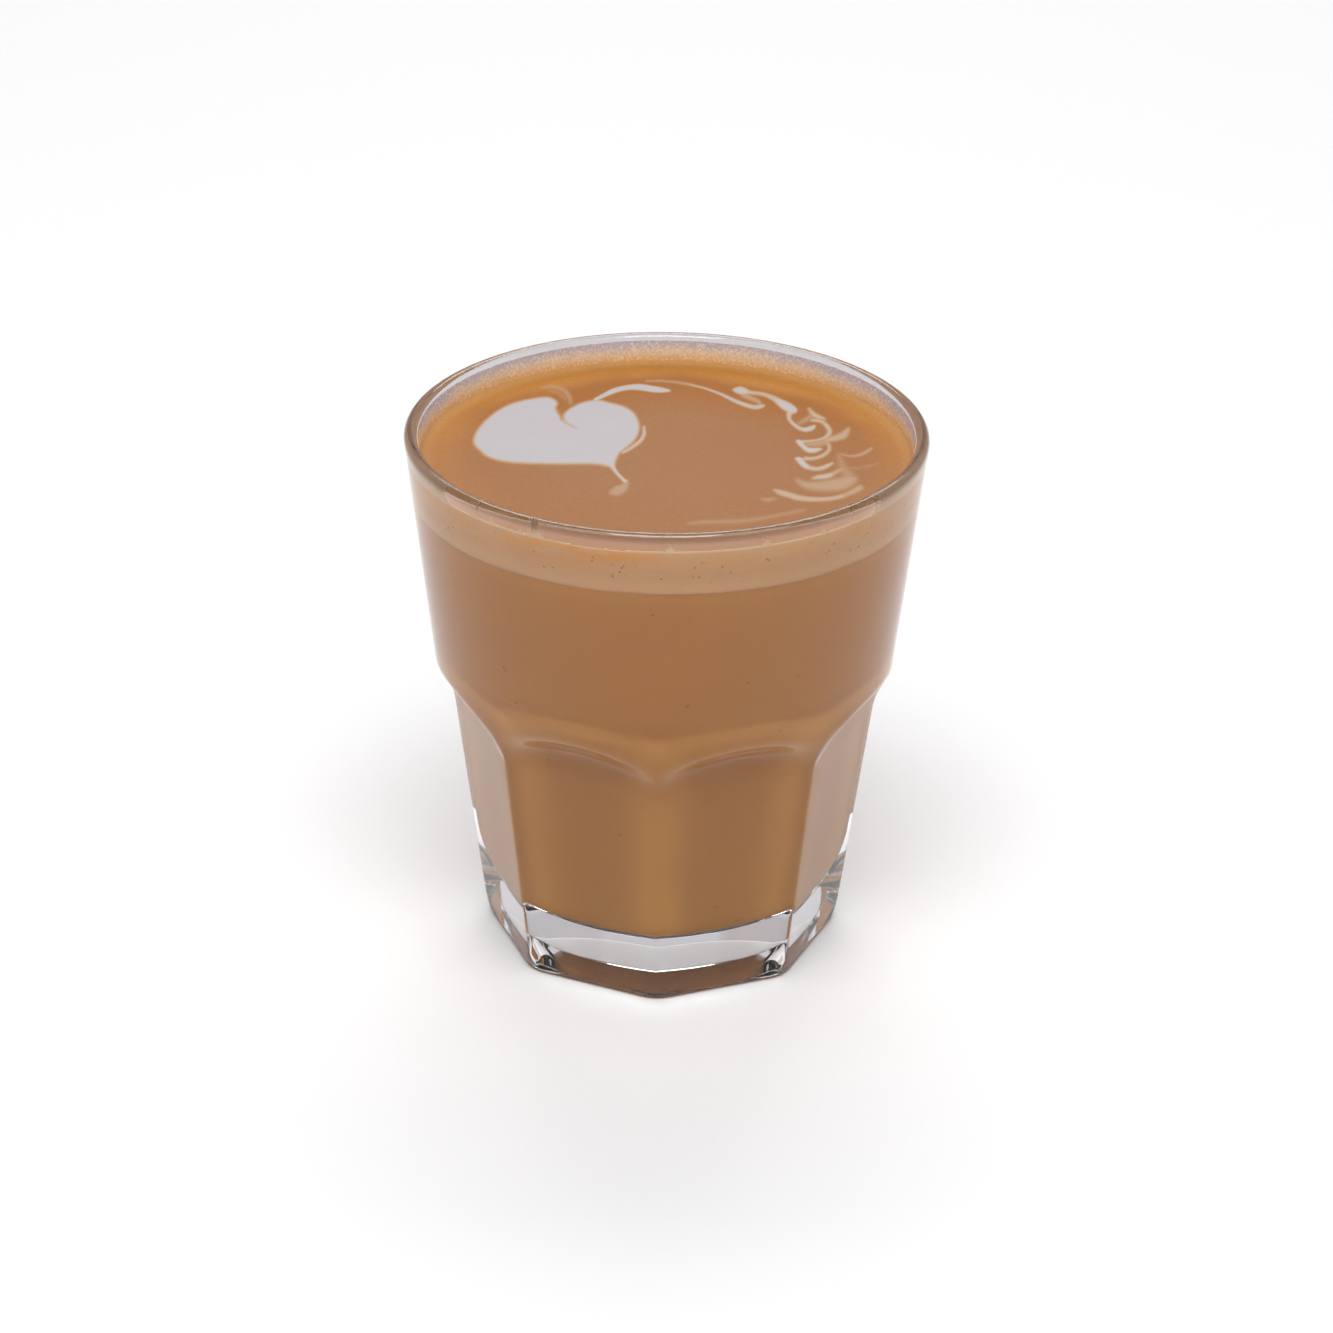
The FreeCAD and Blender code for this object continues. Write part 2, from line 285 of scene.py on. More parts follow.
STROKES = {  # name: (strength, softness, points)
    "tail": (0.85, 0.30, [(-7.9, -3.3, 0.76), (-7.6, -5.4, 0.53), (-6.9, -7.5, 0.42), (-6.1, -9.3, 0.42), (-5.7, -10.1, 0.49)]),
    "tail_end": (0.34, 0.60, [(-5.5, -10.3, 0.57), (-5.8, -12.2, 1.14), (-6.7, -13.5, 1.48), (-7.5, -14.2, 0.65)]),
    "edge": (0.66, 0.35, [(-3.7, 10.4, 0.38), (-3.6, 7.7, 0.57), (-4.0, 5.2, 0.57), (-5.1, 2.7, 0.57), (-6.4, 0.6, 0.46)]),
    "curl": (0.26, 0.60, [(-20.0, 24.8, 0.27), (-18.3, 25.5, 0.49), (-16.6, 24.2, 0.61), (-15.6, 21.7, 0.68), (-15.2, 19.0, 0.49)]),
    "curl_in": (0.16, 0.60, [(-18.8, 23.9, 0.27), (-17.2, 22.7, 0.46), (-16.1, 20.6, 0.42)]),
    "arm": (0.88, 0.35, [(-11.5, 20.6, 0.49), (-10.3, 22.3, 0.68), (-8.8, 24.3, 0.84), (-7.0, 25.6, 0.84), (-5.1, 26.0, 1.03), (-3.1, 25.4, 1.06), (-1.6, 25.0, 0.87), (-0.4, 24.8, 0.38)]),
    "ghost": (0.34, 0.40, [(-4.0, 28.5, 0.23), (-1.5, 28.7, 0.34), (1.2, 28.1, 0.42), (3.0, 27.4, 0.46)]),
    "ribbon": (0.70, 0.35, [(2.8, 27.4, 0.27), (4.9, 26.2, 0.30), (7.4, 24.1, 0.40), (8.7, 22.6, 0.52), (10.0, 21.1, 0.61), (11.4, 19.8, 0.67), (12.7, 19.0, 0.70), (13.7, 19.2, 0.64), (14.3, 19.8, 0.24)]),
    "ribbon_back": (0.40, 0.60, [(13.8, 19.9, 0.46), (13.2, 21.5, 0.67), (12.1, 22.6, 0.76), (11.2, 23.7, 0.91)]),
    "knot": (0.82, 0.50, [(9.7, 25.7, 0.52), (10.6, 25.5, 1.28), (11.5, 25.0, 0.91)]),
    "band": (0.62, 0.45, [(11.5, 25.0, 0.79), (12.7, 24.6, 0.61), (14.1, 24.2, 0.64), (15.5, 22.9, 0.82), (16.5, 21.4, 1.12)]),
    "band_end": (0.84, 0.45, [(16.1, 22.0, 0.61), (17.0, 20.6, 1.28), (17.9, 19.3, 1.49), (18.6, 18.2, 1.28), (18.9, 17.9, 0.61)]),
    "drop_line": (0.72, 0.35, [(18.3, 18.2, 0.91), (18.1, 16.4, 0.70), (18.1, 14.8, 0.52), (18.5, 13.3, 0.52), (19.1, 12.0, 0.55), (19.8, 11.0, 0.61), (20.7, 10.5, 0.64)]),
    "drop_end": (0.86, 0.40, [(20.3, 10.5, 0.52), (20.9, 10.8, 0.73), (21.5, 11.3, 0.70), (21.9, 12.1, 0.36)]),
    "feather": (0.55, 0.50, [(21.1, 18.9, 0.33), (21.5, 17.4, 0.70), (22.0, 16.3, 0.85), (22.8, 15.4, 0.70), (23.4, 14.9, 0.46)]),
    "feather_low": (0.30, 0.70, [(19.6, 12.9, 0.40), (20.5, 14.3, 0.70), (21.3, 15.7, 0.73)]),
    "arc": (0.60, 0.40, [(21.6, 14.4, 0.52), (22.8, 14.0, 0.52), (23.5, 13.0, 0.61), (24.0, 11.5, 0.67), (24.2, 10.0, 0.67), (23.9, 8.6, 0.64), (23.3, 7.5, 0.46), (22.1, 6.6, 0.36), (20.9, 6.2, 0.43), (20.0, 5.9, 0.61)]),
    "arc_end": (0.85, 0.40, [(19.3, 6.2, 0.30), (19.7, 5.7, 0.79), (20.2, 4.3, 0.67), (20.9, 3.0, 0.76), (21.7, 2.8, 0.76), (22.4, 3.2, 0.52), (22.9, 3.4, 0.21)]),
    "arc_fill": (0.34, 0.80, [(20.5, 5.0, 0.61), (22.0, 5.3, 0.97), (23.5, 6.2, 0.97)]),
    "wisp": (0.48, 0.60, [(23.5, 6.6, 0.61), (24.5, 7.3, 0.85), (25.4, 7.9, 1.00), (26.3, 9.0, 1.12), (26.9, 10.9, 0.55), (27.1, 11.7, 0.18)]),
    "loop": (0.60, 0.40, [(24.0, 5.4, 0.40), (24.1, 3.5, 0.46), (23.6, 1.8, 0.52), (22.7, 0.5, 0.49), (21.7, -0.2, 0.49), (20.5, -0.3, 0.58)]),
    "loop_end": (0.86, 0.40, [(19.2, -0.4, 0.33), (19.7, -0.9, 0.88), (20.2, -2.3, 0.85), (20.8, -3.3, 0.70)]),
    "turn": (0.68, 0.40, [(20.6, -3.3, 0.67), (21.8, -4.0, 0.58), (22.8, -3.8, 0.58), (23.7, -2.9, 0.58), (24.5, -1.8, 0.30)]),
    "drop": (0.66, 0.50, [(21.6, -7.5, 0.24), (22.5, -7.0, 0.64), (23.5, -6.7, 0.73), (24.3, -6.1, 0.67)]),
    "drop_far": (0.45, 0.60, [(24.3, -6.1, 0.61), (25.2, -4.8, 0.55), (25.9, -3.8, 0.27)]),
    "fan": (0.38, 1.00, [(19.4, -8.4, 0.40), (20.2, -9.6, 0.85), (21.2, -10.2, 1.16), (22.7, -10.2, 1.52), (24.1, -9.8, 1.82), (25.6, -9.3, 1.95), (26.9, -8.1, 1.67), (27.7, -7.4, 0.76)]),
    "fan_up": (0.24, 1.10, [(25.5, 1.3, 0.46), (25.8, -1.6, 0.85), (26.2, -4.2, 1.28), (26.9, -6.1, 1.46)]),
    "sweep": (0.56, 0.45, [(16.1, -12.1, 0.40), (17.1, -13.0, 0.79), (18.3, -13.8, 0.85), (19.5, -14.6, 0.85), (20.9, -15.0, 0.73), (22.6, -15.0, 0.64), (24.4, -14.6, 0.58), (26.0, -13.6, 0.58)]),
    "sweep_end": (0.42, 0.60, [(26.0, -13.6, 0.55), (27.4, -12.0, 0.70), (28.5, -10.5, 0.82)]),
    "sweep_tip": (0.24, 0.60, [(14.3, -15.3, 0.40), (15.1, -15.6, 0.61), (16.0, -15.2, 0.46)]),
    "thread": (0.42, 0.45, [(26.0, 1.6, 0.18), (27.1, 1.0, 0.27), (28.3, 1.3, 0.36), (29.3, 2.3, 0.43), (30.1, 3.6, 0.36), (30.5, 4.3, 0.12)]),
    "thread_low": (0.16, 0.60, [(26.4, -3.5, 0.18), (28.3, -3.4, 0.27), (30.0, -2.5, 0.27), (31.4, -1.4, 0.18)]),
    "shore": (0.26, 0.70, [(3.8, -24.5, 0.15), (5.5, -24.0, 0.40), (8.6, -23.6, 0.49), (12.2, -23.0, 0.43), (15.5, -21.5, 0.36), (20.3, -18.9, 0.24)]),
    "crease": (-0.50, 0.45, [(-16.2, 12.8, 0.65), (-15.1, 10.7, 0.49), (-13.8, 9.3, 0.34)]),
    "crease_end": (-0.16, 0.50, [(-13.8, 9.3, 0.30), (-12.4, 7.8, 0.19)]),
}


def through(points, closed=False, per=10):
    """A smooth curve through the points, as many short runs."""
    p = np.array(points, float)
    if closed:
        p = np.concatenate([p[-1:], p, p[:2]])
    else:
        p = np.concatenate([2 * p[:1] - p[1:2], p, 2 * p[-1:] - p[-2:-1]])
    out = []
    for a, b, c, d in zip(p[:-3], p[1:-2], p[2:-1], p[3:]):
        for k in range(per):
            t = k / per
            out.append(0.5 * ((2 * b) + (c - a) * t + (2 * a - 5 * b + 4 * c - d) * t ** 2
                              + (3 * b - a - 3 * c + d) * t ** 3))
    out.append(p[-2])
    return np.array(out)


def run_distance(xy, curve):
    """Distance from each point to the curve, less half the curve's width there."""
    best = np.full(len(xy), 1e9)
    for a, b in zip(curve[:-1], curve[1:]):
        d = b[:2] - a[:2]
        t = np.clip(((xy - a[:2]) @ d) / max(d @ d, 1e-9), 0, 1)
        gap = np.linalg.norm(xy - a[:2] - t[:, None] * d, axis=1)
        if len(a) > 2:
            gap = gap - (a[2] + t * (b[2] - a[2])) / 2
        best = np.minimum(best, gap)
    return best


def poured(xy):
    """How much white milk lies at each point of the surface, 0 to 1."""
    ease = lambda v: v * v * (3 - 2 * v)
    flat = xy * (1.0, STRETCH)
    ring = through(HEART, closed=True) * (1.0, STRETCH)
    near = run_distance(flat, ring)
    inside = np.zeros(len(flat), bool)
    for a, b in zip(ring[:-1], ring[1:]):
        cross = (a[1] > flat[:, 1]) != (b[1] > flat[:, 1])
        if cross.any():
            xc = a[0] + (flat[:, 1] - a[1]) * (b[0] - a[0]) / (b[1] - a[1] + 1e-12)
            inside ^= cross & (flat[:, 0] < xc)
    milk = ease(np.clip(0.5 + np.where(inside, near, -near) / 0.95, 0, 1))
    cut = np.zeros(len(flat))
    for strength, soft, pts in STROKES.values():
        line = np.array(pts) * (1.0, STRETCH, 1.0)
        lo, hi = line[:, :2].min(0) - 2, line[:, :2].max(0) + 2
        sel = np.where(((flat > lo) & (flat < hi)).all(1))[0]
        gap = run_distance(flat[sel], through(line))
        m = abs(strength) * ease(np.clip(0.5 - gap / (1.2 * soft), 0, 1))
        if strength > 0:
            milk[sel] = np.maximum(milk[sel], m)
        else:
            cut[sel] = np.maximum(cut[sel], m)
    return milk * (1 - cut)


def build_foam():
    n = 280
    ux, uy = concentric(n)
    top_r = inner_cone(LEVEL + RISE) + 0.06
    r = np.hypot(ux, uy) * top_r
    milk = poured(np.stack([ux * top_r, uy * top_r], -1).reshape(-1, 2))
    z = LEVEL + RISE * np.exp(-((top_r - r) / 0.75)) + 0.05 * milk.reshape(r.shape)
    verts = np.stack([ux * top_r, uy * top_r, z], -1).reshape(-1, 3)
    idx = np.arange((n + 1) * (n + 1)).reshape(n + 1, n + 1)
    faces = []
    for i in range(n):
        for j in range(n):
            faces.append((int(idx[i, j]), int(idx[i + 1, j]), int(idx[i + 1, j + 1]), int(idx[i, j + 1])))
    rim = list(idx[:, 0]) + list(idx[-1, 1:]) + list(idx[-2::-1, -1]) + list(idx[0, -2:0:-1])
    rim = [int(q) for q in rim]
    rim_xy = verts[rim][:, :2]
    cols = len(rim)
    ang = np.arctan2(rim_xy[:, 1], rim_xy[:, 0])
    all_v = [verts]
    base = len(verts)
    prev = rim
    zs = np.concatenate([[LEVEL + RISE - 0.02], np.linspace(LEVEL + RISE, FOAM_Z, 14)[1:]])
    for zz in zs:
        rr = inner_cone(zz) + 0.06
        ring = np.stack([rr * np.cos(ang), rr * np.sin(ang), np.full(cols, zz)], 1)
        all_v.append(ring)
        cur = list(range(base, base + cols))
        base += cols
        for j in range(cols):
            k = (j + 1) % cols
            faces.append((prev[j], cur[j], cur[k], prev[k]))
        prev = cur
    all_v.append(np.array([[0, 0, FOAM_Z]]))
    for j in range(cols):
        k = (j + 1) % cols
        faces.append((prev[k], prev[j], base))
    pts = np.concatenate(all_v)
    ob = make_object("milk_foam", pts, faces)
    # the meniscus ends in a crisp line at the glass
    ends = np.zeros(len(pts), bool)
    ends[rim] = True
    pairs = np.zeros(len(ob.data.edges) * 2, np.int32)
    ob.data.edges.foreach_get("vertices", pairs)
    ob.data.edges.foreach_set("use_edge_sharp", ends[pairs.reshape(-1, 2)].all(1))
    for name, top in (("poured_milk", milk), ("crown", np.ones(len(verts)))):
        full = np.zeros(len(pts))
        full[:len(verts)] = top
        att = ob.data.attributes.new(name, "FLOAT", "POINT")
        att.data.foreach_set("value", full.astype(np.float32))
    bpy.context.view_layer.update()
    return ob


# lines of foam left on the wall: (azimuth in degrees, width, height) in mm
RUNS = [(-117.8, 1.25, 2.9), (-129.5, 0.40, 2.4), (-121.7, 0.35, 2.2), (-133.7, 0.45, 2.6), (-87.5, 0.75, 2.2),
        (-66.2, 0.60, 2.4), (-101.4, 0.25, 1.1), (-93.2, 0.30, 0.7), (-52.0, 0.40, 2.2), (-44.0, 0.35, 2.5),
        (-36.0, 0.50, 2.6), (-146.0, 0.45, 2.6), (-157.0, 0.6, 2.7), (-28.0, 0.5, 2.7), (150.2, 0.55, 2.6),
        (44.2, 0.60, 2.9), (-75.0, 0.25, 0.9), (-110.0, 0.25, 1.0)]


def build_traces():
    """The thin film of foam that the drink left on the wall above its level."""
    cols, step = 928, 0.17
    low = LEVEL + RISE - 0.30
    rows = 21
    th = (np.arange(cols) + 0.5) * 2 * math.pi / cols
    zc = low + (np.arange(rows) + 0.5) * step
    T, Z = np.meshgrid(th, zc)
    wave = np.zeros(cols)
    for k in (3, 5, 8, 13, 21, 34, 55):
        wave += np.cos(k * th + rng.uniform(0, 6.28)) * 0.46 / k ** 0.55
    # low across the front; at the sides and the back it reaches nearly to the rim
    side = np.where(np.sin(T) > 0, 1.0, np.clip((37.2 * np.abs(np.cos(T)) - 29.6) / 2.4, 0, 1))
    side = side * side * (3 - 2 * side)
    keep = (Z < LEVEL + RISE + 1.0 + 0.10 * wave + 4.0 * side) & (Z < LIP_Z - 0.02)
    for az, wide, tall in RUNS:
        off = np.abs((T - math.radians(az) + math.pi) % (2 * math.pi) - math.pi) * 37.2
        up = Z - (LEVEL + RISE)
        lean = 0.12 * np.sin(2.1 * up + az)
        keep |= (off + lean < wide / 2 * (1 + 1.6 * np.exp(-np.maximum(up - 1.0, 0) / 0.35)) - 0.04 * up) & (up < tall)
    # no two cells meet at a corner only
    for _ in range(4):
        nxt = np.roll(keep, -1, 1)
        for i in range(rows - 1):
            a, b, c, d = keep[i], nxt[i], keep[i + 1], nxt[i + 1]
            one = a & d & ~b & ~c
            two = b & c & ~a & ~d
            keep[i] |= two
            keep[i, (np.where(one)[0] + 1) % cols] = True
            nxt = np.roll(keep, -1, 1)
    ids = {}
    verts, faces = [], []

    def corner(i, j, side):
        key = (i, j % cols, side)
        if key not in ids:
            z = low + i * step
            a = (j % cols) * 2 * math.pi / cols
            r = inner_cone(z) + (0.05 if side else -0.05)
            ids[key] = len(verts)
            verts.append((r * math.cos(a), r * math.sin(a), z))
        return ids[key]

    for i, j in zip(*np.where(keep)):
        i, j = int(i), int(j)
        o = [corner(i, j, 1), corner(i, j + 1, 1), corner(i + 1, j + 1, 1), corner(i + 1, j, 1)]
        n = [corner(i, j, 0), corner(i, j + 1, 0), corner(i + 1, j + 1, 0), corner(i + 1, j, 0)]
        faces.append(tuple(o))
        faces.append(tuple(n[::-1]))
        if i == 0 or not keep[i - 1, j]:
            faces.append((o[0], n[0], n[1], o[1]))
        if i == rows - 1 or not keep[i + 1, j]:
            faces.append((o[2], n[2], n[3], o[3]))
        if not keep[i, (j - 1) % cols]:
            faces.append((o[3], n[3], n[0], o[0]))
        if not keep[i, (j + 1) % cols]:
            faces.append((o[1], n[1], n[2], o[2]))
    return make_object("foam_traces", verts, faces, smooth=False)


# ------------------------------------------------------------------- materials
def material(name):
    mat = bpy.data.materials.new(name)
    mat.use_nodes = True
    nt = mat.node_tree
    for node in list(nt.nodes):
        nt.nodes.remove(node)
    out = nt.nodes.new("ShaderNodeOutputMaterial")
    bsdf = nt.nodes.new("ShaderNodeBsdfPrincipled")
    nt.links.new(bsdf.outputs[0], out.inputs[0])
    return mat, nt, bsdf


class Net:
    """Short names for the nodes of one material."""

    def __init__(self, name):
        self.mat, self.nt, self.bsdf = material(name)
        self.coord = self.add("ShaderNodeTexCoord").outputs["Object"]
        self.mm = self.vec("SCALE", self.coord, scale=1000.0)
        xyz = self.add("ShaderNodeSeparateXYZ", ins={0: self.mm}).outputs
        self.x, self.y, self.z = xyz[0], xyz[1], xyz[2]
        self.r = self.math("SQRT", self.math("ADD", self.math("MULTIPLY", self.x, self.x),
                                             self.math("MULTIPLY", self.y, self.y)))

    def add(self, kind, ins=None, **props):
        node = self.nt.nodes.new(kind)
        for key, val in props.items():
            setattr(node, key, val)
        for key, val in (ins or {}).items():
            if isinstance(val, bpy.types.NodeSocket):
                self.nt.links.new(val, node.inputs[key])
            else:
                node.inputs[key].default_value = val
        return node

    def vec(self, op, a, b=None, scale=None):
        node = self.add("ShaderNodeVectorMath", {0: a}, operation=op)
        if b is not None:
            if isinstance(b, bpy.types.NodeSocket):
                self.nt.links.new(b, node.inputs[1])
            else:
                node.inputs[1].default_value = b
        if scale is not None:
            node.inputs["Scale"].default_value = scale
        return node.outputs[0]

    def math(self, op, a, b=None, clamp=False):
        ins = {0: a}
        if b is not None:
            ins[1] = b
        node = self.add("ShaderNodeMath", ins, operation=op)
        node.use_clamp = clamp
        return node.outputs[0]

    def span(self, value, lo, hi, out_lo=0.0, out_hi=1.0, smooth=True):
        node = self.add("ShaderNodeMapRange", {0: value, 1: lo, 2: hi, 3: out_lo, 4: out_hi},
                        interpolation_type="SMOOTHSTEP" if smooth else "LINEAR")
        return node.outputs[0]

    def noise(self, scale, detail=3.0, rough=0.55, vector=None, distortion=0.0):
        node = self.add("ShaderNodeTexNoise", {"Vector": vector or self.mm, "Scale": scale, "Detail": detail,
                                               "Roughness": rough, "Distortion": distortion})
        return node.outputs[0]

    def cells(self, scale, vector=None, feature="F1"):
        node = self.add("ShaderNodeTexVoronoi", {"Vector": vector or self.mm, "Scale": scale}, feature=feature)
        return node.outputs

    def mix(self, fac, a, b, blend="MIX"):
        node = self.add("ShaderNodeMix", data_type="RGBA", blend_type=blend)
        for key, val in ((0, fac), (6, a), (7, b)):
            if isinstance(val, bpy.types.NodeSocket):
                self.nt.links.new(val, node.inputs[key])
            else:
                node.inputs[key].default_value = val if key == 0 else (*val, 1.0)
        return node.outputs[2]

    def attribute(self, name):
        return self.add("ShaderNodeAttribute", attribute_name=name).outputs["Fac"]

    def set(self, name, value):
        if isinstance(value, bpy.types.NodeSocket):
            self.nt.links.new(value, self.bsdf.inputs[name])
        else:
            self.bsdf.inputs[name].default_value = value

    def bump(self, height, strength, distance):
        node = self.add("ShaderNodeBump", {"Strength": strength, "Distance": distance, "Height": height})
        self.set("Normal", node.outputs[0])


def glass_material():
    m = Net("clear_glass")
    # pressed glass: nearly clear, very slightly deeper where it is thick
    tint = m.mix(m.noise(0.035, 2.0), (0.975, 0.985, 0.985), (0.992, 0.994, 0.994))
    tint = m.mix(m.span(m.z, 2.0, 12.0), (0.955, 0.948, 0.965), tint)
    # fire-polished lip: painted shade, its colour made a shade darker to stand in for the dark line that a thick rim
    # shows
    m.set("Base Color", m.mix(m.span(m.z, LIP_Z - 0.7, LIP_Z + 0.1), tint, (0.50, 0.475, 0.49)))
    m.set("Transmission Weight", 1.0)
    m.set("Roughness", 0.0)
    m.set("IOR", 1.51)
    return m.mat


def coffee_material():
    m = Net("milk_coffee")
    cloud = m.noise(0.055, 3.0, 0.5)
    base = m.mix(cloud, (0.572, 0.275, 0.067), (0.614, 0.303, 0.080))
    # painted shade: darker in the corner under the curve of the floor
    base = m.mix(m.span(m.z, FLOOR_Z + 0.2, FLOOR_Z + 3.2), (0.42, 0.18, 0.040), base)
    # painted light: the flat underside of the drink is made a bright red-brown, for light that reaches it through the
    # base
    base = m.mix(m.span(m.z, FLOOR_Z + 0.35, FLOOR_Z + 0.12), base, (0.98, 0.37, 0.075))
    # painted shade: the drink is made darker lower down, a shading gradient from top to bottom
    painted_shade_low = m.math("MULTIPLY", m.span(m.z, 60.0, 20.0), 0.5)
    base = m.mix(painted_shade_low, base, (0.550, 0.252, 0.054))
    grain = m.cells(0.55)
    speck = m.math("MULTIPLY", m.span(grain[0], 0.16, 0.10), m.span(m.noise(0.33, 2.0), 0.60, 0.66))
    m.set("Base Color", m.mix(m.math("MULTIPLY", speck, 0.45), base, (0.22, 0.08, 0.012)))
    m.set("Roughness", m.span(cloud, 0.3, 0.7, 0.42, 0.52))
    m.set("Specular IOR Level", 0.0)
    return m.mat


def at_the_wall(m):
    """Foam seen against the glass: creamy, stained amber near the top."""
    turn = m.add("ShaderNodeCombineXYZ", {0: m.x, 1: m.y, 2: m.math("MULTIPLY", m.z, 2.2)}).outputs[0]
    blot = m.noise(0.16, 3.0, 0.6, vector=turn)
    side = m.mix(m.noise(0.5, 3.0, 0.6, vector=turn), (0.665, 0.393, 0.180), (0.745, 0.462, 0.232))
    high = m.span(m.z, LEVEL - 2.6, LEVEL + 0.2)
    patch = m.math("MULTIPLY", m.math("MULTIPLY", m.span(m.x, -26.0, -15.0), m.span(m.x, 3.0, -7.0)),
                   m.span(m.y, 0.0, -10.0))
    amber = m.math("MULTIPLY", m.math("ADD", m.math("MULTIPLY", patch, 0.78), 0.20),
                   m.math("MULTIPLY", high, m.span(blot, 0.36, 0.58)))
    side = m.mix(amber, side, (0.765, 0.350, 0.080))
    low = m.span(m.z, FOAM_Z + 3.4, FOAM_Z + 0.4)
    side = m.mix(m.math("MULTIPLY", low, 0.8), side, (0.765, 0.520, 0.285))
    grain = m.cells(1.15)
    zone = m.math("MULTIPLY", m.span(m.z, FOAM_Z + 1.2, FOAM_Z + 2.4), m.span(m.z, LEVEL + 0.6, LEVEL - 0.6))
    dots = m.math("MULTIPLY", m.span(grain[0], 0.30, 0.16),
                  m.math("MULTIPLY", m.span(m.noise(0.45, 1.0), 0.52, 0.58), zone))
    return m.mix(m.math("MULTIPLY", dots, 0.62), side, (0.34, 0.150, 0.060))


def foam_material():
    m = Net("milk_foam")
    soft = m.noise(0.06, 3.0, 0.5)
    fine = m.noise(1.6, 2.0, 0.6)
    warp = m.math("ADD", m.r, m.math("MULTIPLY", m.math("SUBTRACT", m.noise(0.05, 2.0), 0.5), 9.0))
    back = m.span(m.y, -26.0, 24.0)
    back = m.math("MULTIPLY", back, back)
    tan = m.mix(soft, (0.268, 0.120, 0.048), (0.286, 0.132, 0.057))
    amber = m.math("MULTIPLY", m.span(warp, 13.0, 27.0), m.math("ADD", m.math("MULTIPLY", back, 0.82), 0.12))
    top = m.mix(amber, tan, (0.278, 0.100, 0.018))
    glow = m.math("MULTIPLY", m.span(warp, 28.5, 34.0), m.math("ADD", m.math("MULTIPLY", back, 0.75), 0.15))
    top = m.mix(glow, top, (0.385, 0.166, 0.034))
    shore = m.math("MULTIPLY", m.span(m.r, 33.8, 36.3), m.math("ADD", m.math("MULTIPLY", back, 0.60), 0.30))
    top = m.mix(shore, top, (0.450, 0.245, 0.090))
    top = m.mix(m.math("MULTIPLY", m.span(fine, 0.35, 0.68), 0.13), top, (0.225, 0.092, 0.030))
    bubbles = m.cells(1.9)
    pore = m.math("MULTIPLY", m.span(bubbles[0], 0.20, 0.08), m.span(m.noise(0.22, 2.0), 0.50, 0.62))
    top = m.mix(m.math("MULTIPLY", pore, 0.30), top, (0.18, 0.072, 0.024))
    milk = m.attribute("poured_milk")
    streak = m.math("MULTIPLY", milk, m.span(m.noise(0.30, 3.0, 0.6, distortion=0.6), 0.25, 0.60, 0.94, 1.0))
    # thin milk is creamy, thick milk white
    white = m.mix(m.noise(0.12, 2.0), (0.372, 0.347, 0.358), (0.390, 0.366, 0.376))
    cream = m.mix(m.span(streak, 0.0, 0.52, smooth=False), top, (0.385, 0.265, 0.165))
    top = m.mix(m.span(streak, 0.42, 0.95), cream, white)

    side = at_the_wall(m)
    m.set("Base Color", m.mix(m.attribute("crown"), side, top))
    m.set("Roughness", m.span(fine, 0.3, 0.7, 0.34, 0.46))
    m.set("Specular IOR Level", 0.06)
    lift = m.math("ADD", m.math("MULTIPLY", fine, 0.5), m.math("MULTIPLY", bubbles[0], 0.5))
    m.bump(lift, 0.10, 0.0001)
    return m.mat


def traces_material():
    """A film of foam: thick next to the drink, only a haze higher up."""
    m = Net("foam_traces")
    fine = m.noise(2.4, 3.0, 0.7)
    broad = m.noise(0.16, 3.0, 0.55)
    brim = m.math("ADD", m.math("MULTIPLY", m.math("SUBTRACT", broad, 0.5), 2.6),
                  m.math("MULTIPLY", m.math("SUBTRACT", fine, 0.5), 1.9))
    above = m.math("SUBTRACT", m.z, m.math("ADD", brim, LEVEL + RISE + 1.95))
    thick = m.span(above, 0.75, -0.75)
    front = m.span(m.y, 3.0, -5.0)
    near = m.mix(m.span(m.z, LEVEL + 1.0, LEVEL + 1.45), at_the_wall(m), (0.80, 0.575, 0.36))
    low = m.mix(m.span(m.z, LEVEL + 0.3, LEVEL + 1.5), (0.78, 0.435, 0.165), (0.82, 0.575, 0.345))
    far = m.mix(m.span(m.z, LEVEL + 1.1, LEVEL + 2.7), low, (0.83, 0.665, 0.480))
    far = m.mix(m.math("MULTIPLY", m.span(fine, 0.52, 0.68), 0.5), far, (0.90, 0.83, 0.82))
    haze = m.mix(m.span(fine, 0.50, 0.66), (0.62, 0.535, 0.555), (0.80, 0.75, 0.79))
    far = m.mix(thick, haze, far)
    m.set("Base Color", m.mix(front, far, near))
    veil = m.math("MULTIPLY", m.span(above, 1.7, -0.9, 0.76, 0.95), m.span(fine, 0.30, 0.72, 0.82, 1.12))
    m.set("Alpha", m.math("MINIMUM", m.math("MAXIMUM", front, veil), 1.0))
    m.set("Roughness", m.span(fine, 0.3, 0.7, 0.45, 0.60))
    m.set("Specular IOR Level", 0.15)
    m.bump(fine, 0.15, 0.0001)
    return m.mat


tumbler = build_glass()
coffee = build_coffee()
foam = build_foam()
traces = build_traces()
for ob, mat in ((tumbler, glass_material()), (coffee, coffee_material()), (foam, foam_material()),
                (traces, traces_material())):
    ob.data.materials.append(mat)
for ob, node in ((tumbler, "glass"), (coffee, "coffee"), (foam, "foam")):
    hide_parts(node)
    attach(ob, "root")
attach(traces, "root")

# ----------------------------------------------------------------------- stage
mat, nt, b = material("floor")
b.inputs["Base Color"].default_value = (0.755, 0.757, 0.76, 1)
b.inputs["Roughness"].default_value = 0.9
b.inputs["Specular IOR Level"].default_value = 0.0
floor = make_object("floor", [(-3000, -3000, 0), (3000, -3000, 0), (3000, 3000, 0), (-3000, 3000, 0)], [(0, 1, 2, 3)])
floor.data.materials.append(mat)

world = bpy.data.worlds.new("studio")
bpy.context.scene.world = world
world.use_nodes = True
wt = world.node_tree
coord = wt.nodes.new("ShaderNodeTexCoord")
sep = wt.nodes.new("ShaderNodeSeparateXYZ")
ramp = wt.nodes.new("ShaderNodeValToRGB")
wt.links.new(coord.outputs["Generated"], sep.inputs[0])
wt.links.new(sep.outputs[2], ramp.inputs[0])
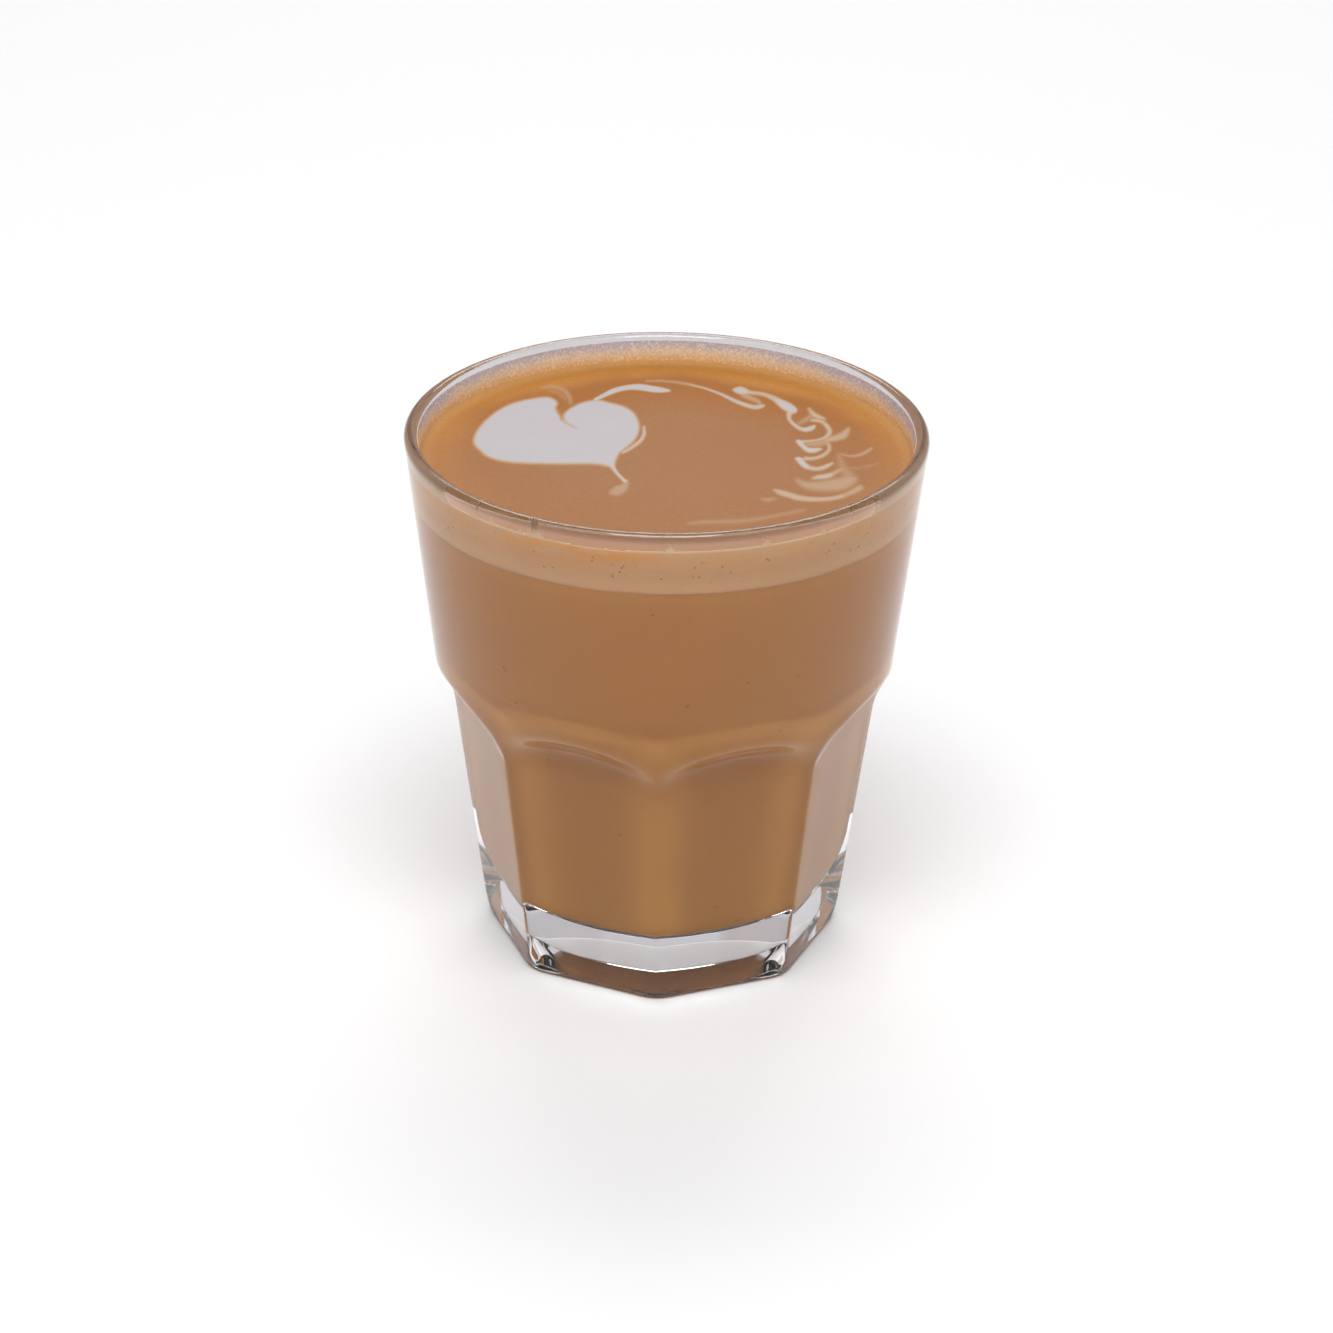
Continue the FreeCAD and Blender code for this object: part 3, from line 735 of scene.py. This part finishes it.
# a pale sweep stands behind the object, low down
behind = wt.nodes.new("ShaderNodeMapRange")
behind.interpolation_type = "SMOOTHSTEP"
wt.links.new(sep.outputs[1], behind.inputs[0])
behind.inputs[1].default_value, behind.inputs[2].default_value = 0.05, 0.70
lowdown = wt.nodes.new("ShaderNodeMapRange")
lowdown.interpolation_type = "SMOOTHSTEP"
wt.links.new(sep.outputs[2], lowdown.inputs[0])
lowdown.inputs[1].default_value, lowdown.inputs[2].default_value = 0.75, 0.45
both = wt.nodes.new("ShaderNodeMath")
both.operation = "MULTIPLY"
wt.links.new(behind.outputs[0], both.inputs[0])
wt.links.new(lowdown.outputs[0], both.inputs[1])
blend = wt.nodes.new("ShaderNodeMix")
blend.data_type = "RGBA"
wt.links.new(both.outputs[0], blend.inputs[0])
wt.links.new(ramp.outputs[0], blend.inputs[6])
blend.inputs[7].default_value = (0.60, 0.59, 0.625, 1)
wt.links.new(blend.outputs[2], wt.nodes["Background"].inputs[0])
ramp.color_ramp.elements[0].position = 0.0
ramp.color_ramp.elements[0].color = (0.22, 0.215, 0.225, 1)
ramp.color_ramp.elements[1].position = 1.0
ramp.color_ramp.elements[1].color = (0.34, 0.34, 0.34, 1)
mid = ramp.color_ramp.elements.new(0.62)
mid.color = (0.24, 0.235, 0.245, 1)
wt.nodes["Background"].inputs[1].default_value = 1.0


def area(name, at, to, size, watts, colour=(1, 1, 1)):
    light = bpy.data.lights.new(name, "AREA")
    light.shape = "RECTANGLE"
    light.size, light.size_y = size
    light.energy = watts
    light.color = colour
    ob = bpy.data.objects.new(name, light)
    ob.location = at
    ob.rotation_euler = (Vector(to) - Vector(at)).to_track_quat("-Z", "Y").to_euler()
    bpy.context.scene.collection.objects.link(ob)
    return ob


area("key_soft", (0.0, -0.40, 0.98), (0, 0, 0.05), (0.55, 0.40), 5.0)
area("wide_soft", (0.0, -0.42, 1.10), (0, 0, 0.05), (1.5, 1.1), 8.2)
area("back_soft", (0.0, 1.05, 1.20), (0, 0.40, 0), (1.1, 0.8), 12.0)

# ---------------------------------------------------------------------- camera
TURN = math.radians(1.453)
cam_data = bpy.data.cameras.new("camera")
cam = bpy.data.objects.new("camera", cam_data)
bpy.context.scene.collection.objects.link(cam)
cam_data.lens = 106.71
cam_data.sensor_width = 36.0
cam_data.clip_start, cam_data.clip_end = 0.01, 20
E, ROLL, DIST = math.radians(26.40), math.radians(0.674), 0.600
at = Vector((0.00037, -DIST * math.cos(E), 0.04274 + DIST * math.sin(E)))
fwd = Vector((0, math.cos(E), -math.sin(E)))
right = Vector((1, 0, 0))
up = right.cross(fwd)
r3 = right * math.cos(ROLL) + up * math.sin(ROLL)
u3 = -right * math.sin(ROLL) + up * math.cos(ROLL)


def about_z(v):
    c, s = math.cos(TURN), math.sin(TURN)
    return Vector((v.x * c - v.y * s, v.x * s + v.y * c, v.z))


at, fwd, r3, u3 = (about_z(v) for v in (at, fwd, r3, u3))
from mathutils import Matrix
m = Matrix((r3, u3, -fwd)).transposed().to_4x4()
m.translation = at
cam.matrix_world = m
bpy.context.scene.camera = cam

scene = bpy.context.scene
scene.view_settings.view_transform = "Standard"
scene.view_settings.look = "None"
# light that has passed through the glass stays sharp, and isn't cut off
scene.cycles.blur_glossy = 0.0
scene.cycles.sample_clamp_indirect = 0.0
